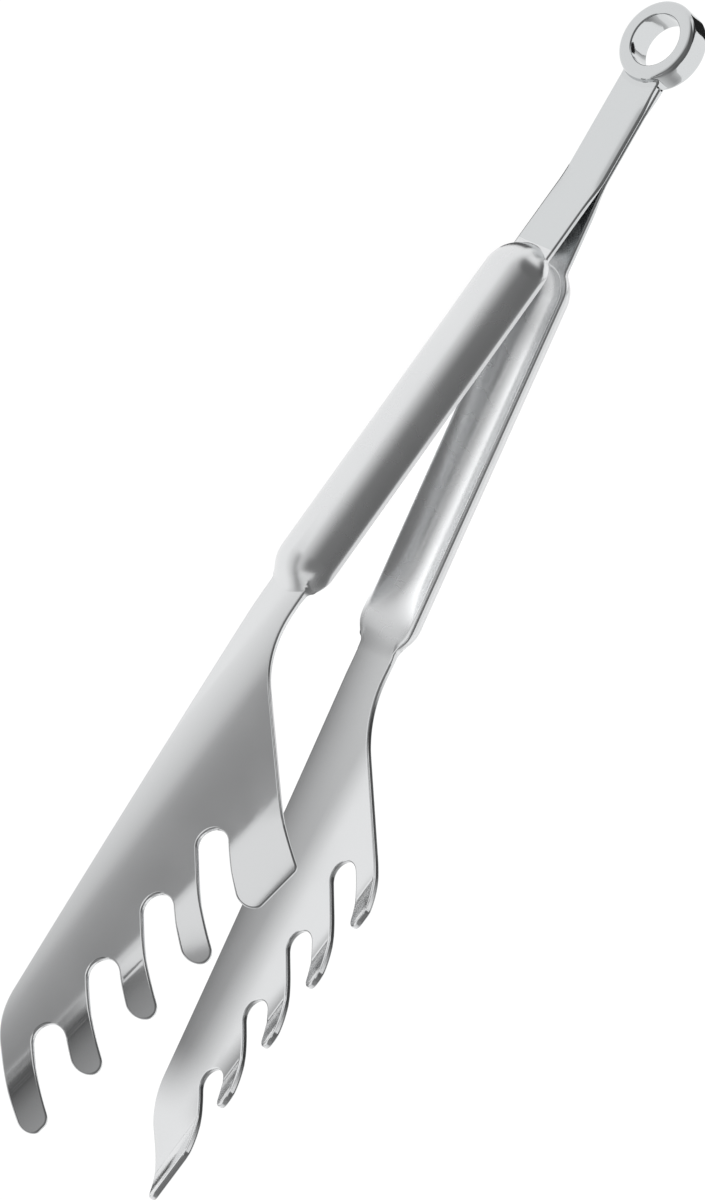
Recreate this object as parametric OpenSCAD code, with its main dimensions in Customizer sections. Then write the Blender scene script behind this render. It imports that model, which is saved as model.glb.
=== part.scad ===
// All-steel sprung spaghetti tongs.
// X runs from the hanging ring to the fingertips, Y is the direction in which the tongs open, and Z points
// from the spine edges, on which the tongs lie, to the fingers. The origin is the centre of the ring's hole.
// The front arm is on the -Y side and the rear arm, its mirror image, on the +Y side. An arm's own frame
// starts where the leaves part: x along the leaf, y outwards from the middle of the sheet, z to the fingers.

/* [Sheet] */
// Thickness of the sheet that both arms are stamped from
sheet_t = 1.6; // [1.2:0.1:2]
// Angle of each arm to the middle plane with the tongs at rest
open_angle = 8.3; // [6:0.1:10]

/* [Hanging ring] */
// Outer diameter of the ring
ring_od = 20; // [17:0.5:26]
// Diameter of the ring's hole
ring_bore_d = 13; // [9:0.5:14]
// Width of the ring, across the two leaves
ring_w = 7.2; // [6:0.2:10]
// Radius of the ring's outer edges
ring_edge_r = 1.3; // [0.4:0.1:1.4]
// Radius of the edges of the ring's hole
bore_edge_r = 0.5; // [0.2:0.1:0.8]
// Radius of the polished weld fillet between the leaves and the ring
weld_r = 0.7; // [0.4:0.1:0.7]
// Distance from the ring's rim to the hollowed ends of the leaves, filled with weld
weld_gap = 1; // [0.8:0.1:2]

/* [Spring leaves] */
// Width of a leaf
leaf_w = 11.5; // [9:0.5:13]
// Distance from the ring's centre to where the leaves part
split_x = 35.5; // [26:0.5:50]
// Free length of a leaf, from the parting to the grip
leaf_len = 19; // [14:0.5:30]

/* [Grips] */
// Length of a grip over its two round ends
grip_len = 98.4; // [80:0.2:130]
// Width of a grip across its rims
grip_w = 17; // [15:0.5:20]
// Depth of a grip, from the plane of its rims to its crown
grip_depth = 7.5; // [6.5:0.1:8]
// Height of the flat ground on the side of each rim
rim_face = 1.7; // [1.2:0.1:2.2]

/* [Blades] */
// Length of a blade from the bend at its neck to its far corner
blade_len = 134; // [122:1:150]
// Height of the far corner above the middle line of the arm
far_corner_z = 19; // [17:0.2:21]
// Distance from the bend to the near corner of the comb
near_corner_x = 51.5; // [47:0.5:56]
// Height of the near corner above the middle line of the arm
near_corner_z = 40.2; // [37:0.2:44]
// Width of the neck
neck_w = 11.1; // [9:0.1:13]
// Angle by which a blade is bent inwards at its neck
blade_bend = 2.7; // [1:0.1:4]
// Length of the neck's straight part, from the bend
neck_len = 6; // [3:0.5:10]
// Slope of the spine edge
spine_slope = 2.4; // [1:0.1:4]
// Slope of the edge between the neck and the comb
comb_slope = 42; // [39:0.5:46]
// Slope of the outer edge of the last finger
heel_slope = 44.6; // [42:0.2:48]
// Radius of the corner at the far end of the spine edge
heel_r = 18; // [10:0.5:24]
// Radius of the hollow between the neck and the comb edge
throat_r = 26; // [15:0.5:30]

/* [Fingers] */
// Direction of the fingers, from the arm's length
finger_angle = 39; // [37:0.5:41]
// Width of a slot
slot_w = 7.6; // [7:0.1:8.4]
// Slots in each blade
slot_count = 4; // [3:1:4]
// How far the round end of the rear blade's first slot lies back from the near corner of the comb
first_slot_back = 3.9; // [3:0.1:5]
// How far that round end lies below the near corner
first_slot_drop = 16.8; // [14:0.2:18]
// How far the round end of the front blade's last slot lies back from the far corner of the comb
last_slot_back = 21.7; // [20:0.1:23]
// How far that round end lies below the far corner
last_slot_drop = 5.2; // [4.4:0.1:6]
// Radius of the near outer corner of the comb
near_corner_r = 1.8; // [0.8:0.1:2.4]
// Radius of the far outer corner of the comb
far_corner_r = 2.4; // [0.8:0.1:2.6]

/* [Blade section] */
// Angle at which the flat of a blade leans in towards the fingers
blade_lean = 8; // [4:0.5:10]
// Slope of the line about which the flat leans
lean_slope = 5; // [2:0.5:8]
// Height of the flat over the leaf's plane at the neck, where the curve along the spine ends
blade_lift = 0.8; // [0.6:0.1:1.6]
// Distance of that line above the middle line of the arm, at the neck
spine_curve_z = 8.4; // [5:0.2:10]
// Radius of the curve along the spine
spine_curve_r = 45; // [30:1:80]
// Depth of the strip that curls inwards at the near corner of the comb
near_curl_w = 13.5; // [10:0.5:15]
// Depth of the strip that curls inwards at the far corner of the comb
far_curl_w = 15.2; // [12:0.5:17]
// Radius of the curl
curl_r = 24; // [20:1:40]

/* [Hidden] */
$fn = 96;

// Overrun of every cut past the surface that it cuts
over = 1;
// Place of the line at which a leaf flexes, as a share of its free length
flex_share = 0.45;
// Gap that stands for the flexing line
flex_gap = 0.25;
// How much further on the front blade's slots lie, as a share of the distance between two slots
stagger_share = 0.5;
// Steps in each rounded corner of a blade's outline
corner_steps = 8;
// Radius of a rounded finger end, as a share of half the finger's width
tip_round_share = 0.97;
// Radius of a slot's round end, as a share of half the slot's width
slot_round_share = 0.98;

half_t = sheet_t / 2;
ring_r = ring_od / 2;
weld_end_r = ring_r + weld_gap;
flex_x = leaf_len * flex_share;

// The channel of a grip is part of a round tube, with its axis below the plane of the rims
half_grip_w = grip_w / 2;
crown_rise = grip_depth - rim_face;
grip_r = (half_grip_w * half_grip_w + crown_rise * crown_rise) / (2 * crown_rise);
grip_axis_y = grip_depth - grip_r - half_t;
// Reach of a round end in the plane of the rims
end_reach = sqrt(grip_r * grip_r - pow(grip_depth - grip_r, 2));
grip_x0 = leaf_len + end_reach;
grip_x1 = leaf_len + grip_len - end_reach;
// The blade starts, and is bent, just past the grip
bend_x = leaf_len + grip_len + half_t;

// Outer points of a blade's outline, in the blade's own frame, where x starts at the bend
near_corner = [near_corner_x, near_corner_z];
far_corner = [blade_len, far_corner_z];
spine_start = [neck_len, -neck_w / 2];
throat = [near_corner_x - (near_corner_z - neck_w / 2) / tan(comb_slope), neck_w / 2];
heel_x = (far_corner_z - blade_len * tan(heel_slope) - spine_start.y + neck_len * tan(spine_slope))
         / (tan(spine_slope) - tan(heel_slope));
heel = [heel_x, spine_start.y + (heel_x - neck_len) * tan(spine_slope)];
// How far the blade's sheet runs back under the round end of the grip
neck_back = end_reach + half_t;

// The fingers' ends lie on one straight line
tips_slope = atan2(near_corner_z - far_corner_z, blade_len - near_corner_x);
tips_normal = [sin(tips_slope), cos(tips_slope)];
tips_len = norm(far_corner - near_corner);
finger_dir = [cos(finger_angle), sin(finger_angle)];
finger_side = [sin(finger_angle), -cos(finger_angle)];
// The slots are spaced evenly, and those of the two blades alternate
first_slot = near_corner - [first_slot_back, first_slot_drop];
last_slot = far_corner - [last_slot_back, last_slot_drop];
slot_step = (last_slot - first_slot) / (slot_count - stagger_share);
finger_w = slot_step * finger_side - slot_w;

// The curl starts on a line that closes in on the fingers' ends
curl_slope = tips_slope + atan((far_curl_w - near_curl_w) / tips_len);

function unit(v) = v / norm(v);

// Half the angle at p between the points a and b
function half_angle(a, p, b) = acos(unit(a - p) * unit(b - p)) / 2;

// Points of an arc of radius r that rounds the corner p between the points a and b
function corner(a, p, b, r) =
    let (
        to_a = unit(a - p),
        to_b = unit(b - p),
        half = half_angle(a, p, b),
        middle = p + unit(to_a + to_b) * r / sin(half),
        from = p + to_a * r / tan(half) - middle,
        upto = p + to_b * r / tan(half) - middle,
        start = atan2(from.y, from.x),
        turn = (atan2(upto.y, upto.x) - start + 540) % 360 - 180
    )
    r > 0 ? [for (i = [0 : corner_steps])
        middle + r * [cos(start + turn * i / corner_steps), sin(start + turn * i / corner_steps)]] : [p];

// Outline with each corner rounded to its radius, or to less where an edge is too short for its two arcs
function rounded(points, radii) =
    let (
        n = len(points),
        before = [for (i = [0 : n - 1]) points[(i + n - 1) % n]],
        after = [for (i = [0 : n - 1]) points[(i + 1) % n]],
        reach = [for (i = [0 : n - 1]) radii[i] / tan(half_angle(before[i], points[i], after[i]))],
        room = [for (i = [0 : n - 1])
            norm(after[i] - points[i]) / max(reach[i] + reach[(i + 1) % n], norm(after[i] - points[i]))]
    )
    [for (i = [0 : n - 1])
        each corner(before[i], points[i], after[i], radii[i] * min(room[i], room[(i + n - 1) % n]))];

// Where a line from p in the fingers' direction meets the line of the fingers' ends
function on_tips(p) = p + finger_dir * (tips_normal * (near_corner - p)) / (tips_normal * finger_dir);

// The four corners of slot k, from its far side to its near side
function slot_corners(k, shift) =
    let (
        middle = first_slot + (k + shift) * slot_step,
        bottom = middle - finger_dir * slot_w / 2,
        side = finger_side * slot_w / 2
    )
    [on_tips(middle + side), bottom + side, bottom - side, on_tips(middle - side)];

module satin() { color("#c6c8ca") children(); }
module polished() { color("#e4e6e8") children(); }

// Places children from the rear arm's own frame
module rear_arm() {
    translate([split_x, half_t, 0]) rotate([0, 0, open_angle]) children();
}

// Places children from the front arm's own frame
module front_arm() {
    mirror([0, 1, 0]) rear_arm() children();
}

// Square corner piece that leaves a round of radius r at the corner (x, y), open towards (dx, dy)
module edge_cut(x, y, dx, dy, r) {
    difference() {
        translate([min(x - dx * over, x + dx * r), min(y - dy * over, y + dy * r)]) square(r + over);
        translate([x + dx * r, y + dy * r]) circle(r);
    }
}

// Section of the ring, to the right of its axis
module ring_section() {
    difference() {
        translate([ring_bore_d / 2, -ring_w / 2]) square([ring_r - ring_bore_d / 2, ring_w]);
        for (side = [-1, 1]) {
            edge_cut(ring_r, side * ring_w / 2, -1, -side, ring_edge_r);
            edge_cut(ring_bore_d / 2, side * ring_w / 2, 1, -side, bore_edge_r);
        }
    }
}

module hanging_ring() {
    polished() rotate([90, 0, 0]) rotate_extrude() ring_section();
}

// Section of the weld, to the right of the ring's axis: as thick as both leaves, with a fillet on each face
module weld_section() {
    translate([ring_r - over, -sheet_t]) square([over + weld_gap, 2 * sheet_t]);
    difference() {
        translate([ring_r - over, -sheet_t - weld_r]) square([over + weld_r, 2 * (sheet_t + weld_r)]);
        for (side = [-1, 1]) {
            translate([ring_r + weld_r, side * (sheet_t + weld_r)]) circle(weld_r);
        }
    }
}

// Weld between the ring and the hollowed ends of the two leaves
module ring_weld() {
    polished() difference() {
        intersection() {
            rotate([90, 0, 0]) rotate_extrude() weld_section();
            translate([0, -ring_w / 2, -leaf_w / 2]) cube([weld_end_r + over, ring_w, leaf_w]);
        }
        rotate([90, 0, 0]) cylinder(r = ring_r, h = ring_w + over, center = true);
    }
}

// Fixed half of a leaf: its welded length, and its start up to the flexing line
module spring_root() {
    miter = half_t * tan(open_angle / 2);
    root_x = flex_x - flex_gap / 2;
    function at(x, y) = [
        split_x + x * cos(open_angle) - y * sin(open_angle),
        half_t + x * sin(open_angle) + y * cos(open_angle)
    ];
    polished() difference() {
        linear_extrude(height = leaf_w, center = true) polygon([
            [0, 0], at(-miter, -half_t), at(root_x, -half_t),
            at(root_x, half_t), at(miter, half_t), [0, sheet_t]
        ]);
        rotate([90, 0, 0]) cylinder(r = weld_end_r, h = 2 * sheet_t + over, center = true);
    }
}

// Moving half of a leaf, from the flexing line to the grip
module leaf() {
    start = flex_x + flex_gap / 2;
    polished() translate([start, -half_t, -leaf_w / 2]) cube([leaf_len - start, sheet_t, leaf_w]);
}

// Round bar with ball ends that gives a grip its outer or inner skin
module grip_core(r) {
    translate([grip_x0, grip_axis_y, 0]) rotate([0, 90, 0]) cylinder(r = r, h = grip_x1 - grip_x0);
    for (x = [grip_x0, grip_x1]) {
        translate([x, grip_axis_y, 0]) sphere(r);
    }
}

module grip() {
    satin() difference() {
        union() {
            intersection() {
                grip_core(grip_r);
                translate([leaf_len, -half_t, -half_grip_w]) cube([grip_len, grip_depth + over, grip_w]);
            }
            translate([leaf_len, -half_t, -leaf_w / 2]) cube([end_reach, sheet_t, leaf_w]);
            intersection() {
                blade_place(0) neck_bar() blade_sheet();
                translate([bend_x - neck_back, -half_t, -grip_w]) cube([neck_back, grip_depth, 2 * grip_w]);
            }
        }
        grip_core(grip_r - sheet_t);
    }
}

// Places children from the blade's own frame, turned inwards by the bend
module blade_place(bend) {
    translate([bend_x, 0, 0]) rotate([0, 0, -bend]) children();
}

// Cuts children to the neck's width
module neck_bar() {
    intersection() {
        children();
        translate([-neck_back, -grip_w, -neck_w / 2]) cube([neck_back + over, 2 * grip_w, neck_w]);
    }
}

// The blade's curved sheet, wider than any blade cut from it: a flat between two rolled strips
module blade_sheet() {
    start = -neck_back - over;
    length = blade_len - start;
    near_z = near_corner_z - spine_curve_z;
    curl_z = near_corner_x * sin(curl_slope) + near_z * cos(curl_slope) - near_curl_w;
    translate([0, blade_lift, spine_curve_z]) rotate([0, lean_slope, 0]) rotate([blade_lean, 0, 0]) {
        intersection() {
            translate([start, -half_t, 0]) cube([length, sheet_t, length]);
            curl_start(curl_z) translate([-length, -sheet_t, -length])
                cube([3 * length, 2 * sheet_t, length]);
        }
        intersection() {
            rolled_sheet(start, length, spine_curve_r);
            translate([start, -spine_curve_r / 2, -spine_curve_r / 2])
                cube([length, spine_curve_r, spine_curve_r / 2]);
        }
        curl_start(curl_z) intersection() {
            rolled_sheet(-length, 3 * length, curl_r);
            translate([-length, -curl_r, 0]) cube([3 * length, 2 * curl_r, curl_r]);
        }
    }
}

// Places children on the line along which the curl of the fingers starts
module curl_start(z) {
    rotate([0, curl_slope - lean_slope, 0]) translate([0, 0, z]) children();
}

// Sheet rolled round a line along x, to the radius r, that starts flush with the plane y = 0 where z = 0
module rolled_sheet(start, length, r) {
    translate([start, -r, 0]) rotate([0, 90, 0]) difference() {
        cylinder(r = r + half_t, h = length);
        translate([0, 0, -over]) cylinder(r = r - half_t, h = length + 2 * over);
    }
}

// Outline of a blade, with x along the arm and y to the fingers
module blade_outline(shift) {
    slots = [for (k = [slot_count - 1 : -1 : 0]) each slot_corners(k, shift)];
    tip_r = finger_w / 2 * tip_round_share;
    slot_r = slot_w / 2 * slot_round_share;
    points = concat(
        [[-over, -neck_w / 2], spine_start, heel, far_corner],
        slots,
        [near_corner, throat, [-over, neck_w / 2]]
    );
    radii = concat(
        [0, 0, heel_r, far_corner_r],
        [for (k = [1 : slot_count]) each [tip_r, slot_r, slot_r, tip_r]],
        [near_corner_r, throat_r, 0]
    );
    polygon(rounded(points, radii));
}

module blade(shift) {
    satin() intersection() {
        blade_place(blade_bend) intersection() {
            blade_sheet();
            rotate([90, 0, 0]) linear_extrude(height = 2 * near_corner_z, center = true) blade_outline(shift);
        }
        translate([bend_x, -near_corner_z, -near_corner_z])
            cube([blade_len + over, 2 * near_corner_z, 2 * near_corner_z + over]);
    }
}

module front_spring_root() { mirror([0, 1, 0]) spring_root(); }
module rear_spring_root() { spring_root(); }
module front_leaf() { front_arm() leaf(); }
module rear_leaf() { rear_arm() leaf(); }
module front_grip() { front_arm() grip(); }
module rear_grip() { rear_arm() grip(); }
module front_blade() { front_arm() blade(stagger_share); }
module rear_blade() { rear_arm() blade(0); }

hanging_ring();
ring_weld();
front_spring_root();
rear_spring_root();
front_leaf();
front_grip();
front_blade();
rear_leaf();
rear_grip();
rear_blade();
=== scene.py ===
import math

import bpy
import numpy as np
from mathutils import Matrix, Vector
from mathutils.geometry import delaunay_2d_cdt


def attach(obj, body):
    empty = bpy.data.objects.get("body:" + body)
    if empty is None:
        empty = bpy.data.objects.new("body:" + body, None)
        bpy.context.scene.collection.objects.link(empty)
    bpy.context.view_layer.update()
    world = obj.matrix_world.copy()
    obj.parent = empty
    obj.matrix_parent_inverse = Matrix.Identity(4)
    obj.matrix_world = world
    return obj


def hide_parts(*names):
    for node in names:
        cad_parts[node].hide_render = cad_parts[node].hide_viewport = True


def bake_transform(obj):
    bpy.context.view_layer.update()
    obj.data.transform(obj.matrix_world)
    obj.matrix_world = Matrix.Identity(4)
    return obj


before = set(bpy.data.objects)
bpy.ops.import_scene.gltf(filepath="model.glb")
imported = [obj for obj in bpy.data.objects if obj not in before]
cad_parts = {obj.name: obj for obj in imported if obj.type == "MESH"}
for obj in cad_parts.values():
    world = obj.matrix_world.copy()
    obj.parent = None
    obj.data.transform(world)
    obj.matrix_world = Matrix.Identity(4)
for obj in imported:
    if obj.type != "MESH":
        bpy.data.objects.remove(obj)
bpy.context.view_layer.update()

# Camera. It looks at the tongs from the front arm's side and from above, through a long lens, so that the
# fingertips come towards it at the lower left of the picture and the ring is at the upper right.
MM = 0.001
SENSOR = 24.0
IMAGE_H = 1200
FOCAL_PX = 6566.41
CAM_TURN = Vector((1.22578, 2.19333, 0.92195))
CAM_SHIFT = Vector((70.5444, -125.932, 1492.409))

turn = Matrix.Rotation(CAM_TURN.length, 3, CAM_TURN.normalized())
camera_data = bpy.data.cameras.new("camera")
camera_data.sensor_fit = "VERTICAL"
camera_data.sensor_height = SENSOR
camera_data.lens = FOCAL_PX / IMAGE_H * SENSOR
camera_data.clip_start = 0.05
camera_data.clip_end = 50
camera = bpy.data.objects.new("camera", camera_data)
axes = Matrix((turn[0], -turn[1], -turn[2])).transposed()
camera.matrix_world = Matrix.Translation(-(turn.transposed() @ CAM_SHIFT) * MM) @ axes.to_4x4()
bpy.context.scene.collection.objects.link(camera)
bpy.context.scene.camera = camera

# Hanging ring. A short piece of thick round tube, turned from stainless steel, with its edges broken and
# mirror polished. The leaves are welded to its rim, and it hangs on a hook by its hole.
RING_R = 10.0
BORE_R = 6.5
HALF_RING_W = 3.6
RIM_EDGE_R = 1.3
BORE_EDGE_R = 0.5
RING_STEPS = 160

# Grinding marks, mm: as wide as the belt's grit cuts, and many times longer.
GRAIN_W = 0.12
GRAIN_STRETCH = 60.0

# Points that are the same to 1/20000 mm are one vertex.
PARTS_PER_MM = 2e4


def linear(code):
    """A colour written as sRGB hex, in Blender's linear values."""
    parts = [int(code[i:i + 2], 16) / 255 for i in (1, 3, 5)]
    return tuple(c / 12.92 if c <= 0.04045 else ((c + 0.055) / 1.055) ** 2.4 for c in parts) + (1.0,)


def add(tree, kind, settings=None, **inputs):
    """A node with its settings, and with its inputs set to values or linked to sockets. An input goes by
    its name, or by i and its number."""
    node = tree.nodes.new(kind)
    for key, value in (settings or {}).items():
        setattr(node, key, value)
    for key, value in inputs.items():
        numbered = key[0] == "i" and key[1:].isdigit()
        socket = node.inputs[int(key[1:]) if numbered else key.replace("_", " ")]
        if isinstance(value, bpy.types.NodeSocket):
            tree.links.new(value, socket)
        else:
            socket.default_value = value
    return node


def new_material(name):
    """An empty material, and its node tree."""
    material = bpy.data.materials.new(name)
    material.use_nodes = True
    material.node_tree.nodes.clear()
    return material, material.node_tree


def mesh_piece(name, points, faces, normals, material):
    """A smooth object from points in mm, faces, and a normal for each corner of each face."""
    keys = np.round(np.asarray(points) * PARTS_PER_MM).astype(np.int64)
    _, first, place = np.unique(keys, axis=0, return_index=True, return_inverse=True)
    place = place.ravel()
    kept, corners = [], []
    for face, turned in zip(faces, normals):
        ring, around = [], []
        for vertex, normal in zip(face, turned):
            if place[vertex] not in ring:
                ring.append(int(place[vertex]))
                around.append(normal)
        if len(ring) > 2:
            kept.append(ring)
            corners += around
    mesh = bpy.data.meshes.new(name)
    mesh.from_pydata((np.asarray(points)[first] * MM).tolist(), [], kept)
    mesh.polygons.foreach_set("use_smooth", [True] * len(mesh.polygons))
    mesh.update()
    mesh.normals_split_custom_set([tuple(n) for n in corners])
    mesh.materials.append(material)
    piece = bpy.data.objects.new(name, mesh)
    bpy.context.scene.collection.objects.link(piece)
    return piece


def steel(name, colour, smooth, rough, haze_mm, grain_um, bright=None):
    """Stainless steel with a roughness that wanders over haze_mm, and with grinding marks along the part.
    With bright (two places along the part in mm, and the roughnesses past them) it grows brighter there."""
    material, tree = new_material(name)
    spot = add(tree, "ShaderNodeTexCoord")
    haze = add(tree, "ShaderNodeTexNoise", Vector=spot.outputs["Object"], Scale=1000.0 / haze_mm,
               Detail=3.0)
    dull = add(tree, "ShaderNodeMapRange", Value=haze.outputs["Fac"], i1=0.3, i2=0.7, i3=smooth, i4=rough)
    if bright:
        x0, x1, smooth_past, rough_past = bright
        along = add(tree, "ShaderNodeSeparateXYZ", Vector=spot.outputs["Object"])
        for socket, near, past in ((3, smooth, smooth_past), (4, rough, rough_past)):
            turn = add(tree, "ShaderNodeMapRange", Value=along.outputs["X"], i1=x0 * MM, i2=x1 * MM,
                       i3=near, i4=past)
            tree.links.new(turn.outputs["Result"], dull.inputs[socket])
    drawn = add(tree, "ShaderNodeMapping", Vector=spot.outputs["Object"], Scale=(1 / GRAIN_STRETCH, 1, 1))
    marks = add(tree, "ShaderNodeTexNoise", Vector=drawn.outputs["Vector"], Scale=1000.0 / GRAIN_W,
                Detail=2.0)
    relief = add(tree, "ShaderNodeBump", Height=marks.outputs["Fac"], Strength=1.0,
                 Distance=grain_um * 1e-6)
    shine = add(tree, "ShaderNodeBsdfPrincipled", Base_Color=linear(colour), Metallic=1.0,
                Roughness=dull.outputs["Result"], Normal=relief.outputs["Normal"])
    add(tree, "ShaderNodeOutputMaterial", Surface=shine.outputs["BSDF"])
    return material


# Buffed to a mirror: it shows the room sharply, with a faint haze.
mirror = steel("mirror_polished_stainless_steel", "#c9cbcc", smooth=0.05, rough=0.10, haze_mm=9.0,
               grain_um=0.2)


def arc(cx, cy, r, start, stop, steps):
    """Points of an arc, by its middle, radius and two angles in degrees."""
    return [(cx + r * math.cos(math.radians(start + (stop - start) * k / steps)),
             cy + r * math.sin(math.radians(start + (stop - start) * k / steps))) for k in range(steps + 1)]


def ring_section():
    """The closed section of the ring's wall, as radius and place along the axis."""
    far, near = HALF_RING_W - RIM_EDGE_R, HALF_RING_W - BORE_EDGE_R
    outer = arc(RING_R - RIM_EDGE_R, far, RIM_EDGE_R, 90, 0, 10)
    bore = arc(BORE_R + BORE_EDGE_R, near, BORE_EDGE_R, 180, 90, 6)
    half = [(BORE_R, 0.0), (BORE_R, near / 2)] + bore + outer + [(RING_R, far / 2)]
    return half + [(x, -y) for x, y in [(RING_R, 0.0)] + half[:0:-1]]


def ring_mesh():
    """The section turned round the axis, with the normals of a smooth wall."""
    section = np.array(ring_section())
    n = len(section)
    ahead = np.roll(section, -1, axis=0) - section
    behind = section - np.roll(section, 1, axis=0)
    tangent = (ahead / np.linalg.norm(ahead, axis=1)[:, None]
               + behind / np.linalg.norm(behind, axis=1)[:, None])
    out = np.stack([-tangent[:, 1], tangent[:, 0]], 1)
    out /= np.linalg.norm(out, axis=1)[:, None]
    points, facing, faces = [], [], []
    for k in range(RING_STEPS):
        a = 2 * math.pi * k / RING_STEPS
        c, s = math.cos(a), math.sin(a)
        points += [(x * c, y, x * s) for x, y in section]
        facing += [(x * c, y, x * s) for x, y in out]
        here, there = k * n, (k + 1) % RING_STEPS * n
        faces += [[there + i, there + (i + 1) % n, here + (i + 1) % n, here + i] for i in range(n)]
    return points, faces, [[facing[v] for v in face] for face in faces]


ring = mesh_piece("ring", *ring_mesh(), mirror)
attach(ring, "root")
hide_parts("hanging_ring")

# Arms. Each arm is one stamping of 1.6 mm stainless sheet: a flat spring leaf, a grip pressed into a
# channel with round ends, a neck, and a blade with a comb of fingers curled inwards. Its edges are tumbled
# round.
# An arm is described flat, by the place s along it and w across it, and then bent into place.
SHEET_T = 1.6
HALF_T = SHEET_T / 2
EDGE_R = 0.5
SPLIT_X = 35.5
OPEN_ANGLE = 8.3
BLADE_BEND = 2.7
BEND_REACH = 3.0
LEAF_LEN = 19.0
HALF_LEAF_W = 5.75
GRIP_LEN = 98.4
HALF_GRIP_W = 8.5
HALF_NECK_W = 5.55
BEND_X = LEAF_LEN + GRIP_LEN + HALF_T

# The grip outside: part of a round bar with ball ends, whose width has its own, rounder shoulders.
GRIP_DEPTH = 7.5
RIM_FACE = 1.7
GRIP_RISE = GRIP_DEPTH - RIM_FACE
GRIP_R = (HALF_GRIP_W ** 2 + GRIP_RISE ** 2) / (2 * GRIP_RISE)
GRIP_AXIS = GRIP_DEPTH - GRIP_R - HALF_T
END_REACH = math.sqrt(GRIP_R ** 2 - (GRIP_DEPTH - GRIP_R) ** 2)
GRIP_X0 = LEAF_LEN + END_REACH
GRIP_X1 = LEAF_LEN + GRIP_LEN - END_REACH
SHOULDER_R = 8.75

# The grip inside: a hollow with round walls, which runs out softly into the neck from 14 mm before the
# last ball end's middle to 9 mm past it.
HOLLOW_HALF_W = 7.33
HOLLOW_WALL = math.radians(50)
HOLLOW_R = HOLLOW_HALF_W / math.sin(HOLLOW_WALL)
HOLLOW_AXIS = -HALF_T - HOLLOW_R * math.cos(HOLLOW_WALL)
HOLLOW_RUN_OUT = (-14, 9)
HOLLOW_FILLET = 0.35
LEAST_FILLET = 0.001

# Fillets at the leaf's end and at the neck's end of a grip, in the outline and over the outer face. Any
# place well inside the grip tells the two ends apart. Past the sides of the leaf and neck the flat falls
# away steeply, so that only the grip stands there.
MIDGRIP = 60
OUTLINE_FILLETS = (0.9, 1.6)
SIDE_FILLET = 0.5
FACE_FILLETS = (0.7, 2.4)
SIDE_FALL = 4

# The inner face takes up the blade's lean over the last run of the neck, and only between its sides.
NECK_RUN = 6.0
NECK_SIDE = 1.5
NECK_SIDE_SOFT = 2

# The leaf's outer face is polished away towards its comb edge, in a soft roll-off. It starts and ends along
# the leaf between these places.
ROLL = 0.10
ROLL_FROM = 3.0
ROLL_START = (-25, -18)
ROLL_END = (-2, 8)

# The blade's sheet: a flat that leans in towards the fingers, a strip rolled down along the spine, and
# the fingers' strip rolled inwards, with a faint crease across the fingers before their tips.
BLADE_LEN = 134.0
FAR_CORNER_Z = 19.0
NEAR_CORNER = (51.5, 40.2)
BLADE_LEAN = math.radians(8)
LEAN_SLOPE = math.radians(5)
BLADE_LIFT = 0.8
SPINE_CURVE_Z = 8.4
SPINE_CURVE_R = 70.0
SPINE_CURVE_UP = 3.1
NEAR_CURL_W = 13.5
FAR_CURL_W = 15.2
CURL_R = 30.0
CREASE_BACK = 8.2
CREASE_TURN = 0.15
CREASE_SOFT = 0.35

# Rounds of approximation that settle a point of the blade's sheet to well under a hundredth of a mm.
SHEET_ROUNDS = 12

# Short steps, mm, over which a slope along the sheet and the way through it are measured.
NUDGE = 0.01
THROUGH = 0.3

# Cut edges are rounded in this many steps on each side, and mesh lines and points keep these distances from
# them. A triangle is left out where twice its area, in mm2, isn't more than the least. A face counts as a
# flat one at a joint where the cosine between its own normal and each of its points' is under the last.
ROUND_STEPS = 5
LINE_GAP = 0.12
SPOT_GAP = 0.3
LEAST_AREA = 1e-4
CAP_TURN = 0.3

tips = np.array([BLADE_LEN - NEAR_CORNER[0], FAR_CORNER_Z - NEAR_CORNER[1]])
tips_up = np.array([-tips[1], tips[0]]) / np.linalg.norm(tips)
curl_slope = math.atan2(-tips[1], tips[0]) + math.atan((FAR_CURL_W - NEAR_CURL_W) / np.linalg.norm(tips))
curl_z = (NEAR_CORNER[0] * math.sin(curl_slope)
          + (NEAR_CORNER[1] - SPINE_CURVE_Z) * math.cos(curl_slope) - NEAR_CURL_W)


def bend_line(s, corner, angle):
    """Distance along, distance across and slope of a line that turns by an angle at a corner, rounded."""
    a = math.radians(angle)
    radius = BEND_REACH / math.tan(a / 2)
    t = np.clip((s - corner + BEND_REACH) / (2 * BEND_REACH), 0, 1)
    turned = a * t
    before = np.minimum(s - corner, -BEND_REACH)
    after = np.maximum(s - corner - BEND_REACH, 0)
    along = corner + before + radius * np.sin(turned) + after * math.cos(a)
    across = radius * (1 - np.cos(turned)) + after * math.sin(a)
    return along, across, turned


def place(s, n, w, side, vector=None):
    """Points of an arm, from place along, height and place across the sheet, in the part's frame.
    With a vector, the vectors (along, height, across) at these points are turned the same way."""
    x, y, neck_turn = bend_line(s, BEND_X, BLADE_BEND)
    root_x, root_y, root_turn = bend_line(s, 0.0, OPEN_ANGLE)
    a = math.radians(OPEN_ANGLE)
    past = s > BEND_REACH
    px = np.where(past, x * math.cos(a) + y * math.sin(a), root_x)
    py = np.where(past, x * math.sin(a) - y * math.cos(a), root_y)
    turned = root_turn - neck_turn
    c, d = np.cos(turned), np.sin(turned)
    if vector is not None:
        along, up, across = vector
        return np.stack([along * c - up * d, side * (along * d + up * c), across], -1)
    return np.stack([SPLIT_X + px - n * d, side * (HALF_T + py + n * c), w + 0 * px], -1)


def soft_max(a, b, k):
    """The larger of two heights, with the crease between them filleted over a difference k."""
    near = np.maximum(k - np.abs(a - b), 0) / k
    return np.maximum(a, b) + near * near * k / 4


def step(x, start, stop):
    """A soft step from 0 to 1 between two places."""
    t = np.clip((x - start) / (stop - start), 0, 1)
    return t * t * (3 - 2 * t)


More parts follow.
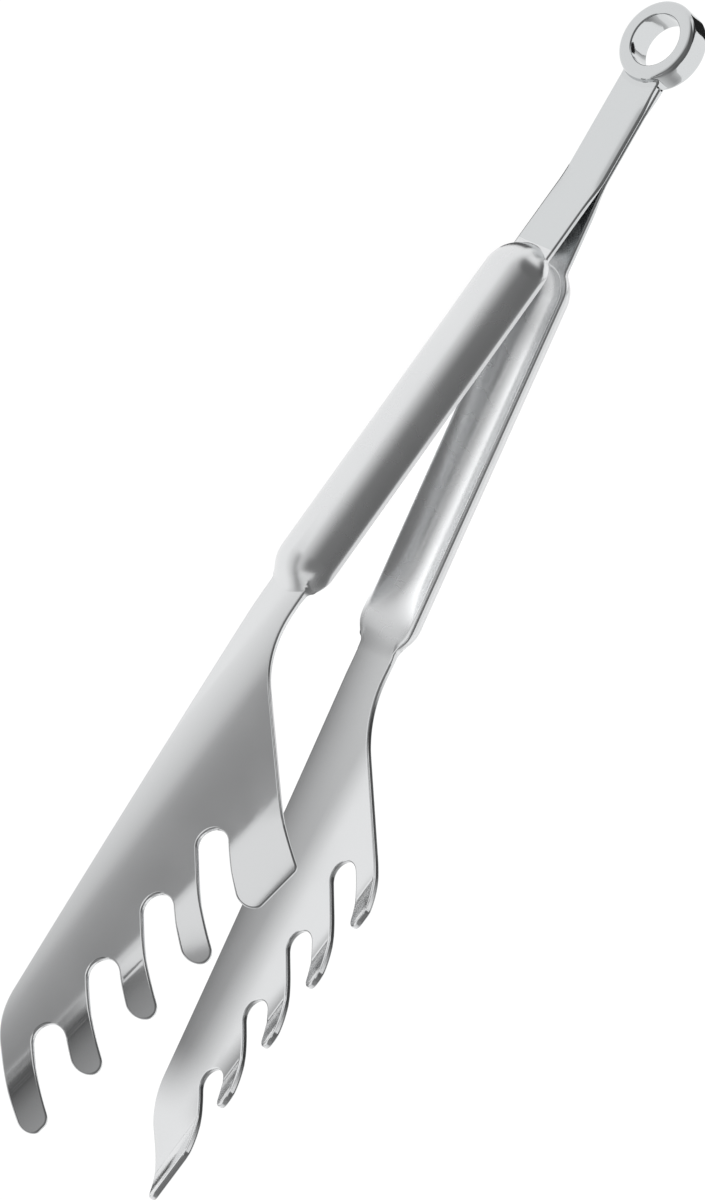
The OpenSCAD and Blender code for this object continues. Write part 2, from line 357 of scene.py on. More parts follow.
def before_tips(x, z):
    """How far a point of the blade lies past the crease, towards the line of the fingers' tips."""
    return CREASE_BACK - (tips_up[0] * (NEAR_CORNER[0] - x) + tips_up[1] * (NEAR_CORNER[1] - z))


def blade_height(x, z):
    """Height of the middle of the blade's sheet over the arm's line, x past the neck's bend."""
    flat_x = x * math.cos(LEAN_SLOPE) - (z - SPINE_CURVE_Z) * math.sin(LEAN_SLOPE)
    s = x * math.sin(LEAN_SLOPE) + (z - SPINE_CURVE_Z) * math.cos(LEAN_SLOPE)
    c = curl_slope - LEAN_SLOPE
    flat_z = s / math.cos(BLADE_LEAN)
    last = before_tips(x, z)
    crease = CREASE_TURN * (np.sqrt(last ** 2 + CREASE_SOFT ** 2) + last) / 2
    for _ in range(SHEET_ROUNDS):
        under = np.minimum(flat_z - SPINE_CURVE_UP, 0)
        past = np.maximum(flat_z * math.cos(c) + flat_x * math.sin(c) - curl_z, 0)
        drop = (SPINE_CURVE_R - np.sqrt(SPINE_CURVE_R ** 2 - under ** 2)
                + CURL_R - np.sqrt(CURL_R ** 2 - past ** 2) + crease)
        flat_z = (s + drop * math.sin(BLADE_LEAN)) / math.cos(BLADE_LEAN)
    return BLADE_LIFT - drop * math.cos(BLADE_LEAN) - flat_z * math.sin(BLADE_LEAN)


def blade_normal(x, z):
    """The blade's normal, along the arm, away from it and across it."""
    dx = (blade_height(x + NUDGE, z) - blade_height(x - NUDGE, z)) / (2 * NUDGE)
    dz = (blade_height(x, z + NUDGE) - blade_height(x, z - NUDGE)) / (2 * NUDGE)
    size = np.sqrt(1 + dx * dx + dz * dz)
    return -dx / size, 1 / size, -dz / size


def half_width(s):
    """Half the width of the leaf, of the grip with its round shoulders, and of the neck."""
    past = np.maximum(np.maximum(GRIP_X0 - s, s - GRIP_X1), 0)
    bar = np.where(s < MIDGRIP, HALF_LEAF_W, HALF_NECK_W)
    shoulder = np.sqrt(np.maximum(SHOULDER_R ** 2 - past ** 2, 0))
    full = soft_max(bar, shoulder, np.where(s < MIDGRIP, *OUTLINE_FILLETS))
    return -soft_max(-full, -HALF_GRIP_W + 0 * s, SIDE_FILLET)


def grip_top(s, w):
    """Height of the outer face of the leaf, of the grip and of the neck."""
    past = np.maximum(np.maximum(GRIP_X0 - s, s - GRIP_X1), 0)
    crown = GRIP_AXIS + np.sqrt(np.maximum(GRIP_R ** 2 - past ** 2 - w ** 2, 0))
    x = s - BEND_X
    neck = blade_height(x, w) + HALF_T / blade_normal(x, w)[1]
    worn = ROLL * np.maximum(w - ROLL_FROM, 0) ** 2 * step(s, *ROLL_START) * (1 - step(s, *ROLL_END))
    flat = np.where(s < MIDGRIP, HALF_T - worn, neck)
    bar = np.where(s < MIDGRIP, HALF_LEAF_W, HALF_NECK_W)
    flat = flat - SIDE_FALL * np.maximum(np.abs(w) - bar, 0)
    return soft_max(flat, crown, np.where(s < MIDGRIP, *FACE_FILLETS))


def hollow_width(s):
    """Width of the hollow against its full width: it narrows with the grip's shoulders towards the neck."""
    wall = HALF_GRIP_W - HOLLOW_HALF_W
    return np.where(s > MIDGRIP, (half_width(s) - wall) / HOLLOW_HALF_W, 1.0)


def grip_bottom(s, w):
    """Height of the inner face, with the hollow pressed into it."""
    past = np.maximum(GRIP_X0 - s, 0)
    round_wall = HOLLOW_R ** 2 - past ** 2 - (w / hollow_width(s)) ** 2
    depth = HALF_T + HOLLOW_AXIS + np.sqrt(np.maximum(round_wall, 0))
    x = s - BEND_X
    neck = blade_height(x, w) - HALF_T / blade_normal(x, w)[1]
    on_neck = step(s, BEND_X - NECK_RUN, BEND_X)
    on_neck = on_neck * step(HALF_NECK_W + NECK_SIDE - np.abs(w), 0, NECK_SIDE_SOFT)
    flat = -HALF_T + (neck + HALF_T) * on_neck
    fade = 1 - step(s, GRIP_X1 + HOLLOW_RUN_OUT[0], GRIP_X1 + HOLLOW_RUN_OUT[1])
    return soft_max(flat, flat + depth * fade, LEAST_FILLET + HOLLOW_FILLET * fade)


def grip_skin(s, w, face, drop):
    """A point under the outer (face 1) or inner (face -1) skin of the leaf or grip."""
    return s, (grip_top(s, w) - drop if face > 0 else grip_bottom(s, w) + drop), w


def skin_normal(skin, s, w, face):
    """The normals of one face of the sheet."""
    a = np.stack(skin(s + NUDGE, w, face, 0.0), -1) - np.stack(skin(s - NUDGE, w, face, 0.0), -1)
    b = np.stack(skin(s, w + NUDGE, face, 0.0), -1) - np.stack(skin(s, w - NUDGE, face, 0.0), -1)
    n = np.cross(b, a) * face
    return n / np.linalg.norm(n, axis=-1)[:, None]


def wall_direction(skin, s, w, face, out):
    """Outward direction square to the thickness of the sheet, at an edge point."""
    deep = np.stack(skin(s, w, face, THROUGH), -1) - np.stack(skin(s, w, face, 0.0), -1)
    deep /= np.linalg.norm(deep, axis=-1)[:, None]
    flat = np.stack([out[:, 0], 0 * out[:, 0], out[:, 1]], -1)
    flat -= deep * np.sum(flat * deep, -1)[:, None]
    return flat / np.linalg.norm(flat, axis=-1)[:, None]


def inside(points, loop):
    """Which points lie inside a closed loop."""
    x, y = points[:, 0], points[:, 1]
    hit = np.zeros(len(points), bool)
    for (x0, y0), (x1, y1) in zip(loop, np.roll(loop, -1, axis=0)):
        if y0 != y1:
            hit ^= ((y0 > y) != (y1 > y)) & (x < (x1 - x0) * (y - y0) / (y1 - y0) + x0)
    return hit


def clear_of(points, loop, gap):
    """Which points lie further than a gap from every edge of a closed loop."""
    run = np.roll(loop, -1, axis=0) - loop
    length = np.maximum(np.sum(run * run, axis=1), 1e-12)
    keep = np.ones(len(points), bool)
    for i in range(0, len(points), 500):
        off = points[i:i + 500, None] - loop[None]
        t = np.clip(np.sum(off * run, axis=2) / length, 0, 1)
        keep[i:i + 500] = np.min(np.linalg.norm(off - t[..., None] * run, axis=2), axis=1) > gap
    return keep


def fill(loop, lines, spots):
    """Triangles over a closed loop, which keep to the lines and points inside it. The loop's points come
    first."""
    points, edges = [loop], [(i, (i + 1) % len(loop)) for i in range(len(loop))]
    count = len(loop)
    for line in lines:
        keep = inside(line, loop) & clear_of(line, loop, LINE_GAP)
        number = np.cumsum(keep) - 1 + count
        edges += [(int(number[i]), int(number[i + 1])) for i in range(len(line) - 1)
                  if keep[i] and keep[i + 1]]
        points.append(line[keep])
        count += int(keep.sum())
    if len(spots):
        points.append(spots[inside(spots, loop) & clear_of(spots, loop, SPOT_GAP)])
    points = np.vstack(points)
    out = delaunay_2d_cdt([Vector(p) for p in points.tolist()], edges, [], 0, 1e-7)
    source = [o[0] for o in out[3]]
    triangles = np.array(out[2])
    flat = np.array([tuple(v) for v in out[0]])
    kept = triangles[inside(flat[triangles].mean(axis=1), loop)]
    a, b, c = flat[kept[:, 0]], flat[kept[:, 1]], flat[kept[:, 2]]
    area = (b - a)[:, 0] * (c - a)[:, 1] - (b - a)[:, 1] * (c - a)[:, 0]
    kept[area < 0] = kept[area < 0][:, ::-1]
    kept = kept[np.abs(area) > LEAST_AREA]
    return points, [[source[i] for i in t] for t in kept.tolist()]


def sheet_piece(name, side, skin, chains, rows, inner_top, inner_bottom, material):
    """A closed piece of sheet with round edges. Chains are the cut edges, anticlockwise in (along, across),
    and rows are the points of the joints between them, where the piece meets its neighbour."""
    spots, turned, faces = [], [], []

    def put(points, normals):
        """Adds points with their normals, and gives their numbers."""
        first = sum(len(p) for p in spots)
        spots.append(points)
        turned.append(normals)
        return list(range(first, first + len(points)))

    outs = []
    for chain in chains:
        t = np.gradient(chain, axis=0)
        out = np.stack([t[:, 1], -t[:, 0]], 1)
        outs.append(out / np.linalg.norm(out, axis=1)[:, None])
    sheets = {}
    for face, inner in ((1, inner_top), (-1, inner_bottom)):
        loop = [part for chain, out, row in zip(chains, outs, rows)
                for part in (chain - out * EDGE_R, row)]
        points, triangles = fill(np.vstack([part for part in loop if len(part)]), *inner)
        s, w = points[:, 0], points[:, 1]
        sheets[face] = put(np.stack(skin(s, w, face, 0.0), -1), skin_normal(skin, s, w, face))
        for triangle in triangles:
            ring = [sheets[face][i] for i in triangle]
            faces.append(ring[::-1] if face > 0 else ring)
    around = sum(len(chain) + len(row) for chain, row in zip(chains, rows))
    angles = [math.pi / 2 * k / ROUND_STEPS for k in range(1, ROUND_STEPS + 1)]
    start = 0
    for chain, out, row in zip(chains, outs, rows):
        count = len(chain)
        columns = [sheets[1][start:start + count]]
        for face in (1, -1):
            for a in angles[::face]:
                q = chain - out * EDGE_R * (1 - math.sin(a))
                s, w = q[:, 0], q[:, 1]
                normal = (skin_normal(skin, s, w, face) * math.cos(a)
                          + wall_direction(skin, s, w, face, out) * math.sin(a))
                normal /= np.linalg.norm(normal, axis=1)[:, None]
                columns.append(put(np.stack(skin(s, w, face, EDGE_R * (1 - math.cos(a))), -1), normal))
        columns.append(sheets[-1][start:start + count])
        for upper, lower in zip(columns[:-1], columns[1:]):
            faces += [[upper[i], upper[i + 1], lower[i + 1], lower[i]] for i in range(count - 1)]
        joint = [(start + count - 1 + k) % around for k in range(len(row) + 2)]
        faces += [[sheets[1][a], sheets[1][b], sheets[-1][b], sheets[-1][a]]
                  for a, b in zip(joint[:-1], joint[1:])]
        faces.append([column[-1] for column in columns][::-1])
        faces.append([column[0] for column in columns])
        start += count + len(row)
    spots = np.vstack(spots)
    turned = np.vstack(turned)
    world = place(*spots.T, side)
    normals = place(*spots.T, side, tuple(turned.T))
    if side < 0:
        faces = [f[::-1] for f in faces]
    # The flat faces at the joints take their own normal, and all others the skin's.
    corners = []
    for f in faces:
        a, b, c = world[f[0]], world[f[1]], world[f[len(f) // 2 + (len(f) == 3)]]
        flat = np.cross(b - a, c - a)
        size = np.linalg.norm(flat)
        soft = [normals[i] for i in f]
        if size > 1e-9 and all(np.dot(flat / size, n) < CAP_TURN for n in soft):
            soft = [flat / size] * len(f)
        corners.append(soft)
    return mesh_piece(name, world, faces, corners, material)


# Spring leaves. The flat stainless strips that start the two stampings, and the tongs' only spring. They
# lie on each other from the ring to the parting, joined by a weld ground flush, and stand apart from there.
# The visual leaf is built already bent, turning over 3 mm to each side of the line about which the CAD leaf
# turns.
WELD_END_R = 11.0

# The mesh's points: their number along an edge, their distance, and how far they keep from the joints.
LEAF_STEPS = 70
LEAF_GRID = 0.7
LEAF_CLEAR = 0.4
GRID_ROW = 0.87

# Rolled bright and lightly buffed: even and light, with soft reflections.
bright_rolled = steel("bright_rolled_stainless_steel", "#cccecf", smooth=0.12, rough=0.18, haze_mm=14.0,
                      grain_um=0.4)


def cross_row(s_of_w, half, count=11):
    """Points across the sheet at a joint, between its rounded edges, from the comb to the spine side."""
    w = np.linspace(half - EDGE_R, -half + EDGE_R, count)[1:-1]
    return np.stack([s_of_w(w), w], 1)


def grid(x0, x1, z0, z1, gap):
    """Points over a rectangle, in rows that are set off by half a gap."""
    x, z = np.meshgrid(np.arange(x0, x1, gap), np.arange(z0, z1, gap * GRID_ROW))
    x = x + gap / 2 * (np.arange(x.shape[0]) % 2)[:, None]
    return np.stack([x.ravel(), z.ravel()], 1)


def hollow_end(w):
    """Where a leaf ends across its width: hollowed to fit round the ring."""
    return np.sqrt(WELD_END_R ** 2 - w ** 2) - SPLIT_X


def leaf_piece(name, side):
    """A leaf from the weld to the grip, built with its bend at the parting."""
    start = hollow_end(HALF_LEAF_W)
    s = np.linspace(start, LEAF_LEN, LEAF_STEPS)
    low = np.stack([s, -HALF_LEAF_W + 0 * s], 1)
    high = np.stack([s[::-1], HALF_LEAF_W + 0 * s], 1)
    far = cross_row(lambda w: LEAF_LEN + 0 * w, HALF_LEAF_W)[::-1]
    near = cross_row(hollow_end, HALF_LEAF_W)
    spots = grid(start - 6, LEAF_LEN, -HALF_LEAF_W, HALF_LEAF_W, LEAF_GRID)
    s, w = spots.T
    spots = spots[(s > hollow_end(w) + LEAF_CLEAR) & (s < LEAF_LEN - LEAF_CLEAR)]
    piece = sheet_piece(name, side, grip_skin, [low, high], [far, near], ([], spots), ([], spots),
                        bright_rolled)

    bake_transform(piece)
    return piece


for name, side in (("front", -1), ("rear", 1)):
    leaf = leaf_piece(name + "_spring_leaf", side)
    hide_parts(name + "_spring_root", name + "_leaf")

# Grips. The middle of each stainless stamping, pressed out into a channel with ball ends, which stiffens
# the arm and fills the hand. The channel opens inwards, and its rims are ground flat.

# The mesh's lines run round the grip. They are set by angles on its round faces, and by distances from its
# middle line past them, closest at the hollow's rim. A narrow grid of points lies next to the joints.
GRIP_STEPS = 40
HOLLOW_END_STEPS = 24
HALF_TURN = np.radians(np.arange(-90, 91, 4))
TOP_ANGLES = np.arange(0, 89, 4)
TOP_LINES = (9.6, 10.2, 10.8)
HOLLOW_ANGLES = np.arange(0, 47, 3)
RIM_LINES = (7.05, 7.15, 7.25, 7.33, 7.4, 7.5, 7.6, 7.8)
END_GRID = 0.6
END_GRID_HALF_W = 5

# Ground lengthwise with a fine belt: soft light and dark bands along the grip, and no sharp reflection.
# Past the neck the blade is tumbled nearly bright: its flats are even, and its curled tips show sharp
# bands.
satin = steel("satin_stainless_steel", "#d9dadb", smooth=0.22, rough=0.3, haze_mm=11.0, grain_um=1.0,
              bright=(146, 172, 0.12, 0.18))


def stadium(r):
    """The line round a grip at a distance r from its middle line."""
    straight = np.linspace(GRIP_X0, GRIP_X1, GRIP_STEPS)
    if r == 0:
        return np.stack([straight, 0 * straight], 1)
    straight = straight[1:-1]
    back = HALF_TURN[::-1]
    far = np.stack([GRIP_X1 + r * np.cos(HALF_TURN), r * np.sin(HALF_TURN)], 1)
    near = np.stack([GRIP_X0 - r * np.cos(back), r * np.sin(back)], 1)
    low = np.stack([straight, -r + 0 * straight], 1)
    high = np.stack([straight[::-1], r + 0 * straight], 1)
    return np.vstack([low, far, high, near[:-1]])


def hollow_line(r):
    """The line at a distance r from the hollow's middle line, round its end at the leaf."""
    s = np.concatenate([np.linspace(GRIP_X0, GRIP_X1, GRIP_STEPS)[1:],
                        np.linspace(GRIP_X1, BEND_X, HOLLOW_END_STEPS)[1:]])
    high = np.stack([s, r * hollow_width(s)], 1)
    if r == 0:
        return np.vstack([[GRIP_X0, 0], high])
    near = np.stack([GRIP_X0 - r * np.cos(HALF_TURN), r * np.sin(HALF_TURN)], 1)
    return np.vstack([high[::-1] * (1, -1), near, high])


def grip_piece(name, side):
    """A grip and its neck, with points closer together along the round shoulders at both ends."""
    s = np.concatenate([np.linspace(LEAF_LEN, LEAF_LEN + 10, 50),
                        np.linspace(LEAF_LEN + 11, BEND_X - 11, 55),
                        np.linspace(BEND_X - 10, BEND_X, 50)])
    low = np.stack([s, -half_width(s)], 1)
    high = np.stack([s[::-1], half_width(s[::-1])], 1)
    far = cross_row(lambda w: BEND_X + 0 * w, HALF_NECK_W)[::-1]
    near = cross_row(lambda w: LEAF_LEN + 0 * w, HALF_LEAF_W)
    top = [stadium(GRIP_R * math.sin(math.radians(a))) for a in TOP_ANGLES]
    top += [stadium(r) for r in TOP_LINES]
    hollow = [hollow_line(HOLLOW_R * math.sin(math.radians(a))) for a in HOLLOW_ANGLES]
    hollow += [hollow_line(r) for r in RIM_LINES]
    at_leaf = grid(LEAF_LEN, LEAF_LEN + 1.0, -END_GRID_HALF_W, END_GRID_HALF_W, END_GRID)
    at_neck = grid(BEND_X - 1.5, BEND_X, -END_GRID_HALF_W, END_GRID_HALF_W, END_GRID)
    return sheet_piece(name, side, grip_skin, [low, high], [far, near],
                       (top, np.vstack([at_leaf, at_neck])), (hollow, at_leaf), satin)


for name, side in (("front", -1), ("rear", 1)):
    grip = grip_piece(name + "_channel_grip", side)
    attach(grip, name + "_arm")
    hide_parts(name + "_grip")

# Blades. Past the neck each stainless stamping ends in a flat blade with five fingers, blanked with
# round-ended slots between them and curled inwards. The slots of the two blades alternate, so that the
# fingers of one close between those of the other.
NECK_LEN = 6.0
SPINE_SLOPE = math.radians(2.4)
COMB_SLOPE = math.radians(42)
HEEL_SLOPE = math.radians(44.6)
FINGER_ANGLE = math.radians(39)
SLOTS = 4
SLOT_W = 7.6
FIRST_SLOT = np.array([NEAR_CORNER[0] - 3.9, NEAR_CORNER[1] - 16.8])
LAST_SLOT = np.array([BLADE_LEN - 21.7, FAR_CORNER_Z - 5.2])
STAGGER = 0.5

# Radii of the outline's corners: where the neck meets the spine, the heel, the far and near corners and the
# throat, and the share of their widths that rounds a finger's tip and a slot's end.
NECK_R, HEEL_R, FAR_R, NEAR_R, THROAT_R = 4, 18, 2.4, 1.8, 26
TIP_ROUND = 0.485
SLOT_ROUND = 0.49
CORNER_STEPS = 14
OUTLINE_STEP = 1.2

# The faces turn square to the blade's lean over the first 5 mm past the bend. A faint groove marks the
# crease.
FACE_TURN = 5
CREASE_MARK = 0.07
CREASE_HALF_W = 0.32

# The mesh's lines beside the crease, by their distances from it, with their points' distance and run, and
# its grid of points, which keeps clear of them and of the cut edges.
CREASE_LINES = (-1.2, -0.7, -0.45, -0.25, -0.1, 0.1, 0.25, 0.45, 0.7, 1.2)
CREASE_STEP = 0.7
CREASE_RUN = (-20, 110)
CREASE_CLEAR = 1.8
BLADE_GRID = 2.0
BLADE_Z = (-8, 42)
CUT_CLEAR = 1.0


def blade_skin(s, w, face, drop):
    """A point under the outer (face 1) or inner (face -1) skin of the blade."""
    x = s - BEND_X
    nx, nn, nz = blade_normal(x, w)
    g = step(x, 0, FACE_TURN)
    h = face * (HALF_T - drop - CREASE_MARK * np.exp(-(before_tips(x, w) / CREASE_HALF_W) ** 2))
    return s + h * nx * g, blade_height(x, w) + h * (nn * g + (1 - g) / nn), w + h * nz * g


def rounded(points, radii, steps):
    """A closed outline with each corner rounded to its radius."""
    out = []
    for i, (p, r) in enumerate(zip(points, radii)):
        if r == 0:
            out.append(p)
            continue
        a, b = points[i - 1] - p, points[(i + 1) % len(points)] - p
        a, b = a / np.linalg.norm(a), b / np.linalg.norm(b)
        half = math.acos(np.clip(a @ b, -1, 1)) / 2
        middle = p + (a + b) / np.linalg.norm(a + b) * r / math.sin(half)
        u, v = p + a * r / math.tan(half) - middle, p + b * r / math.tan(half) - middle
        first = math.atan2(u[1], u[0])
        sweep = (math.atan2(v[1], v[0]) - first + 3 * math.pi) % (2 * math.pi) - math.pi
        turns = [first + sweep * k / steps for k in range(steps + 1)]
        out += [middle + r * np.array([math.cos(t), math.sin(t)]) for t in turns]
    return np.array(out)


def blade_outline(shift):
    """The blanked outline of a blade, anticlockwise from the neck's spine side to its comb side."""
    near, far = np.array(NEAR_CORNER), np.array([BLADE_LEN, FAR_CORNER_Z])
    along = np.array([math.cos(FINGER_ANGLE), math.sin(FINGER_ANGLE)])
    across = np.array([math.sin(FINGER_ANGLE), -math.cos(FINGER_ANGLE)])
    slope = math.atan2(near[1] - far[1], far[0] - near[0])
    up = np.array([math.sin(slope), math.cos(slope)])
    spine = np.array([NECK_LEN, -HALF_NECK_W])
    throat = np.array([near[0] - (near[1] - HALF_NECK_W) / math.tan(COMB_SLOPE), HALF_NECK_W])
    heel_x = ((far[1] - far[0] * math.tan(HEEL_SLOPE) - spine[1] + spine[0] * math.tan(SPINE_SLOPE))
              / (math.tan(SPINE_SLOPE) - math.tan(HEEL_SLOPE)))
    heel = np.array([heel_x, spine[1] + (heel_x - spine[0]) * math.tan(SPINE_SLOPE)])
    stride = (LAST_SLOT - FIRST_SLOT) / (SLOTS - STAGGER)
    tip_r, slot_r = (stride @ across - SLOT_W) * TIP_ROUND, SLOT_W * SLOT_ROUND
    points, radii = [np.array([0, -HALF_NECK_W]), spine, heel, far], [0, NECK_R, HEEL_R, FAR_R]
    for k in range(SLOTS - 1, -1, -1):
        middle = FIRST_SLOT + (k + shift) * stride
        bottom, half = middle - along * SLOT_W / 2, across * SLOT_W / 2
        ends = [q + along * (up @ (near - q)) / (up @ along) for q in (middle + half, middle - half)]
        points += [ends[0], bottom + half, bottom - half, ends[1]]
        radii += [tip_r, slot_r, slot_r, tip_r]
    points += [near, throat, np.array([0, HALF_NECK_W])]
    radii += [NEAR_R, THROAT_R, 0]
    loop = rounded(points, radii, CORNER_STEPS)
    dense = [loop[:1]]
    for a, b in zip(loop[:-1], loop[1:]):
        n = max(1, int(round(np.linalg.norm(b - a) / OUTLINE_STEP)))
        dense.append(a + (b - a) * (np.arange(1, n + 1) / n)[:, None])
    return np.vstack(dense)


def blade_piece(name, side, shift):
    """A blade from the neck's bend to the tips of its fingers."""
    edge = blade_outline(shift)
    move = np.array([BEND_X, 0])
    near = cross_row(lambda w: BEND_X + 0 * w, HALF_NECK_W)
    run = np.arange(*CREASE_RUN, CREASE_STEP)[:, None] * tips / np.linalg.norm(tips)
    creases = [np.array(NEAR_CORNER) - tips_up * (CREASE_BACK - off) + run + move
               for off in CREASE_LINES]
    spots = grid(0, BLADE_LEN, *BLADE_Z, BLADE_GRID)
    spots = spots[clear_of(spots, edge, CUT_CLEAR)]
    spots = spots[np.abs(before_tips(*spots.T)) > CREASE_CLEAR]
    inner = (creases, spots + move)
    return sheet_piece(name, side, blade_skin, [edge + move], [near], inner, inner, satin)


for name, side, shift in (("front", -1, STAGGER), ("rear", 1, 0.0)):
    blade = blade_piece(name + "_comb_blade", side, shift)
    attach(blade, name + "_arm")
    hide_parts(name + "_blade")

# Weld. The leaves' hollowed ends are welded to the ring's rim, and the weld is ground and polished to a
# fillet that runs out over the leaves. It sinks a little into the ring, and laps over the leaves' ends.
WELD_FILLET_R = 0.7
WELD_SINK = 0.12
WELD_LAP = 0.35
WELD_PROUD = 0.01

# The fillet's arc, by its two angles, and the points over the width of the weld between its rounded ends.
WELD_ARC = (4, 80)
WELD_ARC_STEPS = 8
WELD_HALF_FLAT = 4.9
WELD_ROWS = 30


def weld_mesh():
    """The weld's section swept round the ring's axis over the leaves' width, with its two ends rounded."""
    low, r = SHEET_T, WELD_FILLET_R
    half = [(RING_R - WELD_SINK, low + r)]
    half += [(RING_R + r - x, low + r - y) for x, y in arc(0, 0, r, *WELD_ARC, WELD_ARC_STEPS)]
    half += [(RING_R + r, low + WELD_PROUD), (WELD_END_R + WELD_LAP / 2, low + WELD_PROUD),
             (WELD_END_R + WELD_LAP, low - WELD_PROUD)]
    section = np.array([(x, -y) for x, y in half] + half[::-1])
    angles = np.radians(np.linspace(0, 90, ROUND_STEPS + 1))
    ends = [(HALF_LEAF_W - EDGE_R * (1 - math.cos(a)), EDGE_R * (1 - math.sin(a))) for a in angles]
    across = [(-z, drop) for z, drop in ends]
    across += [(z, 0.0) for z in np.linspace(-WELD_HALF_FLAT, WELD_HALF_FLAT, WELD_ROWS)]
    across += [(z, drop) for z, drop in ends[::-1]]
    points = np.array([(math.sqrt(x * x - z * z), y - math.copysign(drop, y), z)
                       for z, drop in across for x, y in section])
    n = len(section)
    faces = [[k * n + i, k * n + (i + 1) % n, (k + 1) * n + (i + 1) % n, (k + 1) * n + i]
             for k in range(len(across) - 1) for i in range(n)]
    faces += [list(range(n))[::-1], list(range((len(across) - 1) * n, len(across) * n))]
    facing = np.zeros(points.shape)
    for face in faces[:-2]:
        a, b, c = points[face[0]], points[face[1]], points[face[2]]
        facing[face] += np.cross(b - a, c - a)
    facing /= np.linalg.norm(facing, axis=1)[:, None]
    return points, faces, [[facing[v] for v in face] for face in faces]


weld = mesh_piece("weld", *weld_mesh(), mirror)
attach(weld, "root")
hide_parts("ring_weld")

# Studio. The tongs lie on a white table in a room with a dim ceiling, so that the metal shades from white
# to grey as it turns up. Grey, white and black cards lie on the table or stand over it, seen only in the
# metal, as a photographer sets them to draw its shapes. Three dark cards on the table are painted shadows
# instead: under the leaves, under and between the grips, and along the rear blade's foot, they darken the
# table where the tongs shade it, as the metal sees it.
FLOOR_Z = -10.0

# The room's brightness from the horizon (0) to straight up (1), and parts of it that are lighter or darker:
# their direction, their brightness, and the dot products where they start and where they are full.
ROOM = [(0.0, 0.74), (0.1, 0.64), (0.25, 0.48), (0.45, 0.34), (0.65, 0.22), (0.85, 0.16), (1.0, 0.16)]
ROOM_PARTS = (
    ((0, 0.94, 0.34), 1.1, 0.77, 0.93),
    ((-0.75, -0.35, 0.56), 0.15, 0.78, 0.9),
    ((0.85, -0.45, 0.28), 0.28, 0.8, 0.92),
    ((0.15, -0.72, 0.67), 0.2, 0.8, 0.93),
    ((-1, 0.1, 0.05), 1.05, 0.82, 0.95),
    ((-0.75, 0.45, 0.48), 0.05, 0.86, 0.95),
)


def grade(ramp, stops):
    """Sets a colour ramp's stops, each its place and its grey."""
    elements = ramp.color_ramp.elements
    elements.remove(elements[0])
    for k, (spot, value) in enumerate(stops):
        element = elements[0] if k == 0 else elements.new(spot)
        element.position = spot
        element.color = (value, value, value, 1)


scene = bpy.context.scene
world = bpy.data.worlds.new("studio")
scene.world = world
world.use_nodes = True
tree = world.node_tree
tree.nodes.clear()
way = add(tree, "ShaderNodeTexCoord")
axes = add(tree, "ShaderNodeSeparateXYZ", Vector=way.outputs["Generated"])
ramp = add(tree, "ShaderNodeValToRGB", Fac=axes.outputs["Z"])
grade(ramp, ROOM)
light = ramp.outputs["Color"]
for direction, value, start, full in ROOM_PARTS:
    toward = add(tree, "ShaderNodeVectorMath", {"operation": "DOT_PRODUCT"}, i0=way.outputs["Generated"],
                 i1=direction)
    share = add(tree, "ShaderNodeMapRange", {"interpolation_type": "SMOOTHSTEP"},
                Value=toward.outputs["Value"], i1=start, i2=full, i3=0.0, i4=1.0)
    mix = add(tree, "ShaderNodeMix", {"data_type": "RGBA"}, Factor=share.outputs["Result"], i6=light,
              i7=(value, value, value, 1))
    light = mix.outputs[2]
ray = add(tree, "ShaderNodeLightPath")
room = add(tree, "ShaderNodeBackground", Color=light, Strength=1.0)
white = add(tree, "ShaderNodeBackground", Color=(1, 1, 1, 1), Strength=1.0)
seen = add(tree, "ShaderNodeMixShader", Fac=ray.outputs["Is Glossy Ray"], i1=white.outputs["Background"],
           i2=room.outputs["Background"])
add(tree, "ShaderNodeOutputWorld", Surface=seen.outputs["Shader"])


def panel(name, corners, material):
    """A flat sheet of the studio, from its corners in mm."""
    mesh = bpy.data.meshes.new(name)
    mesh.from_pydata([tuple(c * MM for c in corner) for corner in corners], [], [(0, 1, 2, 3)])
    mesh.materials.append(material)
    sheet = bpy.data.objects.new(name, mesh)
    scene.collection.objects.link(sheet)
    return sheet


TABLE_HALF = 4000
TABLE_DROP = 0.05
TABLE_MATT = 0.85
TABLE_GLOW = 0.85
TABLE_LIFT = 0.08

# The pool of light on it, in m: its middle, how much less distances along the tongs count than distances
# across them, where it starts to dim and is dimmest, and its two brightnesses.
POOL_MIDDLE = (0.147, 0, -0.01)
POOL_ALONG = 0.3
POOL_REACH = (0.035, 0.16)
POOL_LIGHT = (1.08, 0.78)

# White laminate: it shows the camera a white ground with the tongs' soft shadow, and the metal a pool of
# light along the tongs.
material, tree = new_material("white_table")
ray = add(tree, "ShaderNodeLightPath")
spot = add(tree, "ShaderNodeTexCoord")
middle = add(tree, "ShaderNodeMapping", Vector=spot.outputs["Object"],
             Location=[-c for c in POOL_MIDDLE])
away = add(tree, "ShaderNodeVectorMath", {"operation": "MULTIPLY"}, i0=middle.outputs["Vector"],
           i1=(POOL_ALONG, 1, 0))
far = add(tree, "ShaderNodeVectorMath", {"operation": "LENGTH"}, i0=away.outputs["Vector"])
pool = add(tree, "ShaderNodeMapRange", {"interpolation_type": "SMOOTHSTEP"}, Value=far.outputs["Value"],
           i1=POOL_REACH[0], i2=POOL_REACH[1], i3=POOL_LIGHT[0], i4=POOL_LIGHT[1])
matt = add(tree, "ShaderNodeBsdfDiffuse", Color=(TABLE_MATT, TABLE_MATT, TABLE_MATT, 1))
bright = add(tree, "ShaderNodeEmission", Color=(1, 1, 1, 1), Strength=pool.outputs["Result"])
glow = add(tree, "ShaderNodeEmission", Color=(1, 1, 1, 1), Strength=1.0)
ground = add(tree, "ShaderNodeMixShader", Fac=TABLE_GLOW, i1=matt.outputs["BSDF"],
             i2=glow.outputs["Emission"])
lift = add(tree, "ShaderNodeEmission", Color=(1, 1, 1, 1), Strength=TABLE_LIFT)
both = add(tree, "ShaderNodeAddShader", i0=ground.outputs["Shader"], i1=lift.outputs["Emission"])
